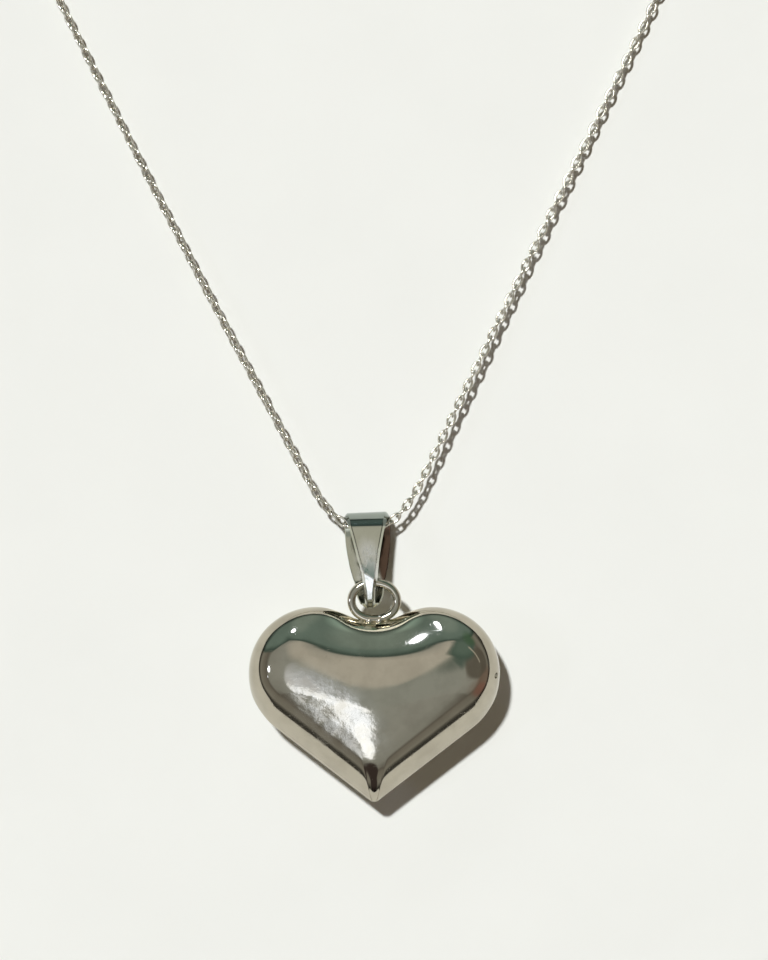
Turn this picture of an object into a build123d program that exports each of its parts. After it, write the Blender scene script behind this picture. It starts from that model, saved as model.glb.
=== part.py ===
from build123d import *
import math
import os
from collections import namedtuple

# Heart pendant on a fine cable chain, lying on a flat surface.
# Millimetres, +Z up out of the surface, +Y from the heart towards the clasp, X across.
# The origin is the middle of the whole loop's box, on the surface.

# Heart: two stamped halves soldered along a seam, hollow inside
HEART_WIDTH = 25.1
HEART_LENGTH = 19.44  # lobe tops to tip
HEART_DEPTH = 9.0
HEART_WALL = 0.4
LOBE_RADIUS = 6.65  # of the seam outline
NOTCH_DEPTH = 1.42  # lobe tops down to the notch
TIP_RADIUS = 0.8
HIP_RADIUS = 9.5  # the rounder stretch between lobe and flank
HIP_ANGLE = 43.0  # below level, where the lobe passes into the hip
SMALLEST_TIP = 0.05  # tip radius that the hollow keeps where the wall is thicker than the tip

# Vent hole through the wall, on the right side just above the seam
VENT_DIAMETER = 0.6
VENT_ALONG = 3.0  # from the heart's middle towards the notch
VENT_ABOVE_SEAM = 1.6

# Ring soldered upright in the notch, in the plane of the seam
RING_WIDTH = 5.4
RING_LENGTH = 4.5
RING_WIRE = 0.8
RING_SEAT = 0.2  # how far the ring's wire sits into the notch
SOLDER_RADIUS = 0.6
SOLDER_OUT = 0.2  # middle of the solder, outside the notch

# Bail: one folded strip, wide at the fold, whose tongue turns back through the ring
BAIL_AT = (1.83, -78.2)  # the fold's middle, where the chain passes
BAIL_LENGTH = 9.55
BAIL_WIDTH = 4.6
BAIL_STRIP = 0.45
FOLD_RADIUS = 2.25
CURL_RADIUS = 0.75
KINK_RADIUS = 0.65
BAIL_ABOVE_FLOOR = 0.1
BAIL_LEAN = 2.4  # degrees, the fold to the left of the tongue
HEART_ASIDE = 0.5  # the heart's middle, to the right of the tongue
HOOK_SLACK = 1.15  # free play between the ring's wire and the curl
KINK_BACK = 0.65  # the bend in the front leg, before the ring's wire
KINK_RISE = 0.3  # middle of that bend above the top of the ring's wire
CURL_DROP = 0.7  # middle of the curl below the seam
TONGUE_RADIUS = 0.7  # the bend where the tongue turns down into the curl
TONGUE_BACK = 0.42  # middle of that bend before the curl's
TONGUE_RISE = 0.8  # middle of that bend above the curl's
HEEL_RADIUS = 1.4  # the bend where the back leg rises from the surface to the curl
HEEL_BACK = 2.3  # middle of that bend before the curl's
HEEL_RISE = 0.75  # lowest line of that bend above the fold's

# Chain: fine oval cable links, built here as a tube of the links' outer width
CHAIN_WIDTH = 0.95
CHAIN_END_GAP = 0.1  # tube end to the clasp's eye

# Clasp: one plain piece at the back of the loop
CLASP_AT = (0.0, 102.0)
CLASP_RING = 5.6
CLASP_WIRE = 1.1
EYE_OUTER = 2.0
EYE_HOLE = 1.1
EYE_THICK = 0.5
EYE_OVERLAP = 0.35  # how far each eye runs into the clasp's ring

# Levels of the heart's half shell, from the seam to the crown.
# rise: height above the seam, share of half the depth
# width: half width, share of half HEART_WIDTH
# top: lobe tops above the middle, share of half HEART_LENGTH
# lobe: lobe radius, share of LOBE_RADIUS
# notch: depth of the notch below the lobe tops, share of NOTCH_DEPTH
# tip: reach of the tip below the middle, share of half HEART_LENGTH
# point: tip radius, share of TIP_RADIUS
Level = namedtuple("Level", "rise width top lobe notch tip point")
HEART_LEVELS = [
    Level(0.000, 1.000, 1.000, 1.000, 1.00, 1.000, 1.0),
    Level(0.270, 0.983, 0.958, 0.875, 1.02, 0.883, 1.6),
    Level(0.540, 0.925, 0.818, 0.650, 0.84, 0.714, 2.5),
    Level(0.760, 0.820, 0.655, 0.430, 0.62, 0.517, 3.5),
    Level(0.890, 0.665, 0.495, 0.270, 0.38, 0.299, 4.0),
    Level(0.955, 0.460, 0.355, 0.220, 0.12, 0.122, 3.7),
    Level(1.000, 0.240, 0.240, 0.140, 0.01, 0.030, 0.9),
]

# Widths of the bail's two legs.
# along: from the fold's outermost line to the end of the curl, share of BAIL_LENGTH
# front, back: width of the leg there, share of BAIL_WIDTH
LegWidth = namedtuple("LegWidth", "along front back")
BAIL_LEGS = [
    LegWidth(0.00, 1.000, 1.000),
    LegWidth(0.16, 0.760, 1.000),
    LegWidth(0.36, 0.576, 0.980),
    LegWidth(0.60, 0.378, 0.830),
    LegWidth(0.72, 0.293, 0.680),
    LegWidth(0.80, 0.245, 0.620),
    LegWidth(0.88, 0.220, 0.600),
    LegWidth(0.95, 0.220, 0.480),
    LegWidth(1.00, 0.220, 0.220),
]

# The chain's route from the clasp's left eye, down the left strand, through the bail,
# up the right strand and back to the clasp's right eye.
CHAIN_ROUTE = [
    (-17.2, 102.1, 0.48),
    (-40.2, 86.6, 0.48),
    (-55.2, 65.2, 0.48),
    (-57.4, 33.5, 0.48),
    (-33.3, -16.4, 0.6),
    (-17.2, -48.4, 1.25),
    (-6.85, -67.7, 1.9),
    (-1.37, -77.7, 2.35),
    (4.9, -77.7, 2.35),
    (9.9, -67.4, 1.9),
    (19.4, -47.7, 1.25),
    (35.5, -15.2, 0.6),
    (57.7, 35.1, 0.48),
    (54.7, 66.4, 0.48),
    (39.8, 86.9, 0.48),
    (17.2, 102.1, 0.48),
]
BEND_SHARE = 0.45  # arc radius: this share of the shorter run, over the tangent of half the turn

# Worked out from the sizes above
BEYOND = BAIL_LENGTH + HEART_DEPTH  # reach of the blocks that cut the bail's legs, past its ends
SEAM_HEIGHT = HEART_DEPTH / 2
FOLD_HEIGHT = FOLD_RADIUS + BAIL_ABOVE_FLOOR
CURL_Y = BAIL_AT[1] + FOLD_RADIUS - BAIL_LENGTH + CURL_RADIUS
WIRE_Y = CURL_Y + CURL_RADIUS - BAIL_STRIP + HOOK_SLACK + RING_WIRE / 2
RING_Y = WIRE_Y - (RING_LENGTH - RING_WIRE) / 2
TONGUE_X = BAIL_AT[0] + (BAIL_AT[1] - WIRE_Y) * math.tan(math.radians(BAIL_LEAN))
HEART_X = TONGUE_X + HEART_ASIDE
HEART_Y = RING_Y - RING_LENGTH / 2 + RING_SEAT - (HEART_LENGTH / 2 - NOTCH_DEPTH)


def tangent_points(centre_a, radius_a, centre_b, radius_b):
    """Ends of the outer tangent of two circles that keeps both on its left, from a to b."""
    dx, dy = centre_b[0] - centre_a[0], centre_b[1] - centre_a[1]
    span = math.hypot(dx, dy)
    side = math.atan2(dy, dx) - math.acos((radius_a - radius_b) / span)
    nx, ny = math.cos(side), math.sin(side)
    start = (centre_a[0] + radius_a * nx, centre_a[1] + radius_a * ny)
    end = (centre_b[0] + radius_b * nx, centre_b[1] + radius_b * ny)
    return start, end


def belt_face(circles):
    """Face inside a belt pulled round circles (x, y, radius), listed anticlockwise."""
    edges = []
    count = len(circles)
    straights = []
    for i in range(count):
        a, b = circles[i], circles[(i + 1) % count]
        straights.append(tangent_points(a[:2], a[2], b[:2], b[2]))
    for i in range(count):
        x, y, radius = circles[i]
        arrive = straights[i - 1][1]
        leave = straights[i][0]
        first = math.atan2(arrive[1] - y, arrive[0] - x)
        last = math.atan2(leave[1] - y, leave[0] - x)
        if last < first:
            last += 2 * math.pi
        middle = (first + last) / 2
        bulge = (x + radius * math.cos(middle), y + radius * math.sin(middle))
        edges.append(ThreePointArc(arrive, bulge, leave))
        edges.append(Line(leave, straights[i][1]))
    return make_face(Wire(edges))


def heart_outline(level, inset, height):
    """Heart-shaped wire at one level, drawn in by inset, of arcs and lines."""
    half_length = HEART_LENGTH / 2
    top = level.top * half_length
    radius = level.lobe * LOBE_RADIUS
    lobe_x = level.width * HEART_WIDTH / 2 - radius
    lobe_y = top - radius
    notch_y = top - level.notch * NOTCH_DEPTH
    # the notch is an arc about a point above it that meets both lobes tangent
    over = notch_y - lobe_y
    notch_radius = (lobe_x**2 + over**2 - radius**2) / (2 * (radius - over))
    notch_centre = notch_y + notch_radius
    # the hip is a rounder arc that leaves the lobe tangent at HIP_ANGLE
    hip_radius = level.lobe * HIP_RADIUS
    hip_turn = math.radians(-HIP_ANGLE)
    hip_x = lobe_x - (hip_radius - radius) * math.cos(hip_turn)
    hip_y = lobe_y - (hip_radius - radius) * math.sin(hip_turn)
    tip_radius = level.point * TIP_RADIUS
    tip_y = tip_radius - level.tip * half_length
    inner_tip = max(tip_radius - inset, SMALLEST_TIP)

    lobe_in = radius - inset
    hip_in = hip_radius - inset
    notch_in = notch_radius + inset
    reach = math.hypot(lobe_x, notch_centre - lobe_y)
    join_lobe = (
        lobe_x * (1 - lobe_in / reach),
        lobe_y + (notch_centre - lobe_y) * lobe_in / reach,
    )
    crest_angle = math.atan2(notch_centre - lobe_y, -lobe_x)
    crest_mid = (crest_angle + hip_turn) / 2
    lobe_mid = (lobe_x + lobe_in * math.cos(crest_mid), lobe_y + lobe_in * math.sin(crest_mid))
    hip_start = (lobe_x + lobe_in * math.cos(hip_turn), lobe_y + lobe_in * math.sin(hip_turn))
    tip_end, hip_end = tangent_points((0, tip_y), inner_tip, (hip_x, hip_y), hip_in)
    hip_last = math.atan2(hip_end[1] - hip_y, hip_end[0] - hip_x)
    hip_middle = (hip_last + hip_turn) / 2
    hip_mid = (hip_x + hip_in * math.cos(hip_middle), hip_y + hip_in * math.sin(hip_middle))
    notch = (0, notch_centre - notch_in)
    tip = (0, tip_y - inner_tip)

    def left(point):
        return (-point[0], point[1])

    edges = [
        ThreePointArc(left(join_lobe), notch, join_lobe),
        ThreePointArc(join_lobe, lobe_mid, hip_start),
        ThreePointArc(hip_start, hip_mid, hip_end),
        Line(hip_end, tip_end),
        ThreePointArc(tip_end, tip, left(tip_end)),
        Line(left(tip_end), left(hip_end)),
        ThreePointArc(left(hip_end), left(hip_mid), left(hip_start)),
        ThreePointArc(left(hip_start), left(lobe_mid), left(join_lobe)),
    ]
    return Pos(0, 0, height) * make_face(Wire(edges))


def half_shell(inset):
    """Upper half of the puffed form, on the seam plane, drawn in by inset."""
    half_depth = HEART_DEPTH / 2 - inset
    sections = [heart_outline(level, inset, level.rise * half_depth) for level in HEART_LEVELS]
    return loft(sections)


def puffed_form(inset):
    """Both halves about the seam plane."""
    upper = half_shell(inset)
    return upper + mirror(upper, about=Plane.XY)


def make_heart():
    """Hollow heart with its vent hole and the ring soldered into the notch."""
    shell = puffed_form(0) - puffed_form(HEART_WALL)
    vent = Cylinder(VENT_DIAMETER / 2, HEART_WIDTH / 4, rotation=(0, 90, 0))
    shell -= Pos(HEART_WIDTH / 2, VENT_ALONG, VENT_ABOVE_SEAM) * vent
    notch_y = HEART_LENGTH / 2 - NOTCH_DEPTH
    ring_y = notch_y - RING_SEAT + RING_LENGTH / 2
    bend = Ellipse((RING_WIDTH - RING_WIRE) / 2, (RING_LENGTH - RING_WIRE) / 2).edge()
    section = Plane(bend @ 0, z_dir=bend % 0) * Circle(RING_WIRE / 2)
    ring = Pos(0, ring_y, 0) * sweep(section, path=bend)
    solder = Pos(0, notch_y + SOLDER_OUT, 0) * Sphere(SOLDER_RADIUS)
    hollow = puffed_form(HEART_WALL)
    return Pos(HEART_X, HEART_Y, SEAM_HEIGHT) * (shell + (ring + solder - hollow))


def leg_prism(column):
    """Tall block with the plan outline of one leg of the bail, about the fold's middle."""
    right = []
    for row in BAIL_LEGS:
        right.append((getattr(row, column) * BAIL_WIDTH / 2, FOLD_RADIUS - row.along * BAIL_LENGTH))
    left = [(-x, y) for x, y in reversed(right)]
    outline = make_face(Polyline(right + left, close=True))
    return extrude(outline, BEYOND, both=True)


def make_bail():
    """Folded strip: a closed band in side view, cut to the plan outline of each leg."""
    curl = (BAIL_AT[1] - CURL_Y, SEAM_HEIGHT - CURL_DROP)
    kink_out = BAIL_AT[1] - WIRE_Y - KINK_BACK
    kink = (kink_out, SEAM_HEIGHT + RING_WIRE / 2 + KINK_RISE)
    tongue = (curl[0] - TONGUE_BACK, curl[1] + TONGUE_RISE)
    fold = (0.0, FOLD_HEIGHT)
    heel = (curl[0] - HEEL_BACK, BAIL_ABOVE_FLOOR + HEEL_RISE + HEEL_RADIUS)
    outer = [
        (*fold, FOLD_RADIUS),
        (*heel, HEEL_RADIUS),
        (*curl, CURL_RADIUS),
        (*tongue, TONGUE_RADIUS),
        (*kink, KINK_RADIUS),
    ]
    inner = [(x, z, radius - BAIL_STRIP) for x, z, radius in outer]
    # the side view looks along +X, so its own x runs towards the heart
    side_view = Plane(origin=(0, 0, 0), x_dir=(0, -1, 0), z_dir=(-1, 0, 0))
    band = extrude(side_view * (belt_face(outer) - belt_face(inner)), BEYOND, both=True)
    # the line from fold to curl parts the front leg from the back leg
    dx, dz = curl[0] - fold[0], curl[1] - fold[1]
    reach = BEYOND / math.hypot(dx, dz)
    far = (curl[0] + dx * reach, curl[1] + dz * reach)
    near = (fold[0] - dx * reach, fold[1] - dz * reach)
    over_far = (far[0], far[1] + BEYOND)
    over_near = (near[0], near[1] + BEYOND)
    over = make_face(Polyline(near, far, over_far, over_near, close=True))
    upper = extrude(side_view * over, BEYOND, both=True)
    front = (band & upper) & leg_prism("front")
    back = (band - upper) & leg_prism("back")
    lean = Rot(0, 0, BAIL_LEAN)
    return Pos(BAIL_AT[0], BAIL_AT[1], 0) * lean * (front + back)


def chain_ends():
    """Where the tube begins and ends, just clear of the clasp's eyes."""
    reach = CLASP_RING / 2 - EYE_OVERLAP + EYE_OUTER + CHAIN_END_GAP
    height = CHAIN_ROUTE[0][2]
    left = (CLASP_AT[0] - reach, CLASP_AT[1], height)
    right = (CLASP_AT[0] + reach, CLASP_AT[1], height)
    return left, right


def bend_radii(points):
    """Arc radius at each corner of the route, as large as its two runs allow."""
    radii = []
    for before, here, after in zip(points, points[1:], points[2:]):
        run_in = Vector(here) - Vector(before)
        run_out = Vector(after) - Vector(here)
        half_turn = math.radians(run_in.get_angle(run_out)) / 2
        shorter = min(run_in.length, run_out.length)
        radii.append(BEND_SHARE * shorter / math.tan(half_turn))
    return radii


def make_chain():
    """The chain as one tube along its route."""
    left, right = chain_ends()
    points = [left] + CHAIN_ROUTE + [right]
    radii = bend_radii(points)
    path = FilletPolyline(*points, radius=radii)
    section = Plane(path @ 0, z_dir=path % 0) * Circle(CHAIN_WIDTH / 2)
    tube = sweep(section, path=path)
    print("chain radii", [round(radius, 1) for radius in radii])
    runs = [(Vector(b) - Vector(a)).length for a, b in zip(points, points[1:])]
    print("chain runs", [round(run, 1) for run in runs])
    expected = math.pi * (CHAIN_WIDTH / 2) ** 2 * path.length
    print("chain length", round(path.length, 1), "volume over section x length", tube.volume / expected)
    return tube


def make_clasp():
    """Plain closed ring with an eye on each side for the chain's end links."""
    clasp = Torus((CLASP_RING - CLASP_WIRE) / 2, CLASP_WIRE / 2)
    for side in (-1, 1):
        eye_x = side * (CLASP_RING / 2 - EYE_OVERLAP + EYE_OUTER / 2)
        eye = Cylinder(EYE_OUTER / 2, EYE_THICK) - Cylinder(EYE_HOLE / 2, 2 * EYE_THICK)
        clasp += Pos(eye_x, 0, 0) * eye
    return Pos(CLASP_AT[0], CLASP_AT[1], CLASP_WIRE / 2) * clasp


os.makedirs("parts", exist_ok=True)
pieces = {
    "heart": make_heart(),
    "bail": make_bail(),
    "chain": make_chain(),
    "clasp": make_clasp(),
}
for name, shape in pieces.items():
    export_step(shape, f"parts/{name}.step")
    print(name, "volume", round(shape.volume, 2), shape.bounding_box())
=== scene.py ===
"""Heart pendant of polished sterling silver on a fine cable chain, lying on a pale surface.

Lengths are in metres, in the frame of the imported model: +Z up out of the surface,
+Y from the heart towards the clasp, X across.
"""

import logging
import math
import random
from collections.abc import Callable
from dataclasses import dataclass
from enum import Enum

import bmesh
import bpy
from mathutils import Matrix, Vector


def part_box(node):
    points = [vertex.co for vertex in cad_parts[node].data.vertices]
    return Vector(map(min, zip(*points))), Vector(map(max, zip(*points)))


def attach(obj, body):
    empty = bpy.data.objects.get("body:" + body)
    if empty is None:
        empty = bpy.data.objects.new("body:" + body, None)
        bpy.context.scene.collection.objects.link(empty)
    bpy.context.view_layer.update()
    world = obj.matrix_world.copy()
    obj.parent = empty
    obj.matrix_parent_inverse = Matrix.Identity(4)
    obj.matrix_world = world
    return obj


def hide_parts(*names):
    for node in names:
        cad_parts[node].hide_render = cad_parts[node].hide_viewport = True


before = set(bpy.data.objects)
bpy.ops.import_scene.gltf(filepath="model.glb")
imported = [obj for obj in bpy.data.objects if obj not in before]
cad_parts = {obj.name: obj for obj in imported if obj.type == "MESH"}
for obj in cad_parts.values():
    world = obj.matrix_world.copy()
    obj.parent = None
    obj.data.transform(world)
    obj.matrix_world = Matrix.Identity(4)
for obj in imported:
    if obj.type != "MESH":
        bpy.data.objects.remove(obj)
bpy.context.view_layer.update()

MM = 0.001
TOUCH = 0.001 * MM  # points closer than this are one
ENLARGED = 1000.0  # scale at which pieces are remeshed
ALL_SMOOTH = 180.0  # angle that shades every edge smooth
STRAIGHTER = 0.25  # how much straighter an oval ring's long sides are than an ellipse's
TALL = 20 * MM  # height of a finish's oval area that takes in all that is over it
SCRATCH_DEPTH = 0.01 * MM
FEWEST_SCRATCHES = 0.76  # level of the noise that few crests pass
SCRATCH_SPREAD = 0.16  # how much lower it is when they crowd
SCRATCH_FADE = 0.07  # rise of the noise over which a scratch fades in
SCRATCH_ROUGHNESS = 0.18  # what a hair scratch adds to a mirror's roughness
WEAR_ROUGHNESS = 0.2  # what full wear adds to it
WEAR_SIZE = 1.6 * MM  # of the patches in a worn area
WEAR_EDGE = 0.65  # share of its reach over which it fades out
DINT_SIZE = 0.7 * MM
STAIN_SIZE = 2.2 * MM  # of the patches of tarnish
BODY = "root"
log = logging.getLogger("heart_pendant")

Colour = tuple[float, float, float, float]
Triple = tuple[float, float, float]
Piece = bpy.types.Object
Tree = bpy.types.NodeTree
Socket = bpy.types.NodeSocket


def linear(hex_colour: str) -> Colour:
    """Turns an sRGB hex colour to linear light.

    Args:
        hex_colour: six hex digits after a hash.

    Returns:
        Linear red, green and blue, with full alpha.
    """
    channels = []
    for start in (1, 3, 5):
        value = int(hex_colour[start : start + 2], 16) / 255
        channels.append(value / 12.92 if value <= 0.04045 else ((value + 0.055) / 1.055) ** 2.4)
    return (channels[0], channels[1], channels[2], 1.0)


def add_node(tree: Tree, kind: str, settings: dict, links: dict) -> bpy.types.Node:
    """Adds a shader node with its settings and links.

    Args:
        tree: the node tree.
        kind: the node's type, without its ShaderNode prefix.
        settings: values by attribute or by input name or number.
        links: output sockets by input name or number.

    Returns:
        The new node.
    """
    node = tree.nodes.new("ShaderNode" + kind)
    for key, value in settings.items():
        if isinstance(key, str) and hasattr(node, key):
            setattr(node, key, value)
        else:
            node.inputs[key].default_value = value
    for key, source in links.items():
        tree.links.new(source, node.inputs[key])
    return node


def oval_share(
    tree: Tree, coords: Socket, centre: Triple, reach: Triple, turn: float, edge: float
) -> Socket:
    """How far inside an oval region a point is.

    Args:
        tree: the node tree.
        coords: object coordinates.
        centre: the oval's middle.
        reach: its half length, half width and half height.
        turn: of its length from X, in degrees.
        edge: share of its reach over which it fades out.

    Returns:
        A socket that is 1 inside and 0 outside.
    """
    place = {"vector_type": "TEXTURE", "Location": centre, "Scale": reach}
    place["Rotation"] = (0.0, 0.0, math.radians(turn))
    local = add_node(tree, "Mapping", place, {"Vector": coords})
    away = add_node(tree, "VectorMath", {"operation": "LENGTH"}, {0: local.outputs[0]})
    fade = {"interpolation_type": "SMOOTHSTEP", "From Min": 1.0 - edge, "To Min": 1.0, "To Max": 0.0}
    return add_node(tree, "MapRange", fade, {"Value": away.outputs["Value"]}).outputs[0]


def new_finish(name: str) -> tuple[bpy.types.Material, Tree, bpy.types.Node, Socket]:
    """Starts a material.

    Args:
        name: the material's name.

    Returns:
        The material, its node tree, its shader and its object coordinates.
    """
    finish = bpy.data.materials.new(name)
    finish.use_nodes = True
    tree = finish.node_tree
    coords = add_node(tree, "TexCoord", {}, {}).outputs["Object"]
    return finish, tree, tree.nodes["Principled BSDF"], coords


def select_only(*objects: Piece) -> None:
    """Selects these objects alone, in object mode, with the first one active."""
    if bpy.context.object and bpy.context.object.mode != "OBJECT":
        bpy.ops.object.mode_set(mode="OBJECT")
    bpy.ops.object.select_all(action="DESELECT")
    for item in objects:
        item.select_set(True)
    if objects:
        bpy.context.view_layer.objects.active = objects[0]


def named(name: str) -> Piece:
    """Names the object that an operator has just added, and returns it."""
    piece = bpy.context.object
    piece.name = name
    piece.data.name = name
    return piece


def apply_modifier(piece: Piece, kind: str, settings: dict) -> None:
    """Adds one modifier to a piece and applies it.

    Args:
        piece: the mesh object.
        kind: the modifier's type name.
        settings: the modifier's attributes.
    """
    select_only(piece)
    modifier = piece.modifiers.new(kind.title(), kind)
    for key, value in settings.items():
        setattr(modifier, key, value)
    bpy.ops.object.modifier_apply(modifier=modifier.name)


def settle(piece: Piece) -> None:
    """Puts a piece's place, turn and scale into its mesh."""
    select_only(piece)
    bpy.ops.object.transform_apply(location=True, rotation=True, scale=True)


def close_and_face_out(piece: Piece) -> None:
    """Merges doubled vertices and points every face outwards."""
    select_only(piece)
    bpy.ops.object.mode_set(mode="EDIT")
    bpy.ops.mesh.select_all(action="SELECT")
    bpy.ops.mesh.remove_doubles(threshold=TOUCH)
    bpy.ops.mesh.normals_make_consistent(inside=False)
    bpy.ops.object.mode_set(mode="OBJECT")


def join_as(name: str, pieces: list[Piece]) -> Piece:
    """Joins pieces into one mesh object of this name."""
    select_only(*pieces)
    bpy.ops.object.join()
    return named(name)


def weld(piece: Piece, grain: float, passes: int) -> None:
    """Melts a piece's overlapping parts into one skin, as solder does.

    The remesh works down to a tenth of a millimetre, so the piece is enlarged for it.

    Args:
        piece: the mesh object.
        grain: size of the new skin's faces.
        passes: rounds of smoothing, which fill the inside corners.
    """
    piece.data.transform(Matrix.Scale(ENLARGED, 4))
    apply_modifier(piece, "REMESH", {"mode": "VOXEL", "voxel_size": grain * ENLARGED})
    apply_modifier(piece, "SMOOTH", {"factor": 0.5, "iterations": passes})
    piece.data.transform(Matrix.Scale(1 / ENLARGED, 4))


def smooth_shade(piece: Piece, degrees: float) -> None:
    """Shades a piece smooth, apart from edges sharper than an angle."""
    select_only(piece)
    bpy.ops.object.shade_smooth_by_angle(angle=math.radians(degrees))


def place_selected(piece: Piece, before: list[Vector], after: list[Vector]) -> None:
    """Moves the selected vertices from one ring of points to the next.

    Args:
        piece: the mesh object, in edit mode.
        before: points where the selected vertices are now.
        after: points where they go, in the same order.
    """
    mesh = bmesh.from_edit_mesh(piece.data)
    for vert in mesh.verts:
        if vert.select:
            nearest = min(range(len(before)), key=lambda i: (before[i] - vert.co).length_squared)
            vert.co = after[nearest]
    bmesh.update_edit_mesh(piece.data)


def add_torus(place: Vector, outer: float, wire: float, sides: tuple[int, int]) -> Piece:
    """Adds a round ring that lies flat.

    Args:
        place: its middle.
        outer: its outer width.
        wire: thickness of its wire.
        sides: faces round the ring and round its wire.

    Returns:
        The ring.
    """
    bpy.ops.mesh.primitive_torus_add(
        location=place,
        major_segments=sides[0],
        minor_segments=sides[1],
        major_radius=(outer - wire) / 2,
        minor_radius=wire / 2,
    )
    return bpy.context.object


def oval_ring(name: str, length: float, width: float, wire: float, sides: tuple[int, int]) -> Piece:
    """Starts from a round ring and pulls it long, so that its wire keeps its thickness.

    Args:
        name: the new object's name.
        length: outer length, along X.
        width: outer width.
        wire: thickness of the wire.
        sides: faces round the ring and round its wire.

    Returns:
        The ring about the origin, lying flat.
    """
    select_only()
    add_torus(Vector(), width, wire, sides)
    ring = named(name)
    stretch = (length - width) / 2
    bpy.ops.object.mode_set(mode="EDIT")
    mesh = bmesh.from_edit_mesh(ring.data)
    for vert in mesh.verts:
        turn = math.atan2(vert.co.y, vert.co.x)
        vert.co.x += stretch * math.cos(turn) * (1 + STRAIGHTER * math.sin(turn) ** 2)
    bmesh.update_edit_mesh(ring.data)
    bpy.ops.object.mode_set(mode="OBJECT")
    return ring


def extrude_through(name: str, rings: list[list[Vector]]) -> Piece:
    """Starts from a circle and extrudes it through rings of points.

    Args:
        name: the new object's name.
        rings: rings with the same number of points, in the same order round.

    Returns:
        The open skin, in edit mode, with its last ring selected.
    """
    count = len(rings[0])
    select_only()
    bpy.ops.mesh.primitive_circle_add(vertices=count, radius=MM, fill_type="NOTHING")
    piece = named(name)
    start = [vert.co.copy() for vert in piece.data.vertices]
    bpy.ops.object.mode_set(mode="EDIT")
    bpy.ops.mesh.select_mode(type="VERT")
    bpy.ops.mesh.select_all(action="SELECT")
    place_selected(piece, start, rings[0])
    for before, after in zip(rings, rings[1:]):
        bpy.ops.mesh.extrude_region_move()
        place_selected(piece, before, after)
    return piece


def select_edges(piece: Piece, wanted: Callable[[Vector], bool]) -> None:
    """Selects the edges whose two ends pass a test.

    Args:
        piece: the mesh object, in edit mode.
        wanted: test of a vertex's place.
    """
    bpy.ops.mesh.select_all(action="DESELECT")
    bpy.ops.mesh.select_mode(type="EDGE")
    mesh = bmesh.from_edit_mesh(piece.data)
    for edge in mesh.edges:
        edge.select_set(all(wanted(vert.co) for vert in edge.verts))
    bmesh.update_edit_mesh(piece.data)


def hand_in(piece: Piece, material: bpy.types.Material, node: str) -> None:
    """Dresses a finished piece and ties it to its body, slot and CAD node.

    Args:
        piece: the mesh object, at the origin.
        material: its finish.
        node: the CAD node that it stands for.
    """
    piece.data.materials.clear()
    piece.data.materials.append(material)
    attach(piece, BODY)
    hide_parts(node)
    log.info("%s: %d faces", piece.name, len(piece.data.polygons))


class Lay(Enum):
    """Turns about Z, in degrees, of the three layers of hair scratches."""

    CROSSED = (38.0, -24.0, 82.0)
    ALONG = (3.0, -7.0, 14.0)


@dataclass(frozen=True)
class WornPatch:
    """An oval area where handling has scratched and dinted the polish, and where the silver is painted
    paler: rubbed silver and a painted sheen.

    Args:
        centre: its middle, in the frame.
        reach: half its length, width and height.
        turn: of its length from X, in degrees.
    """

    centre: Triple
    reach: Triple
    turn: float


@dataclass(frozen=True)
class PaintedLightPatch:
    """An oval area where a reflection or shade is painted into the silver's colour, duller or brighter.

    Args:
        centre: its middle, in the frame.
        reach: half its sizes along X, Y and Z.
        colour: the painted reflection or shade there.
        edge: share of its reach over which it fades out.
    """

    centre: Triple
    reach: Triple
    colour: str
    edge: float = 0.25


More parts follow.
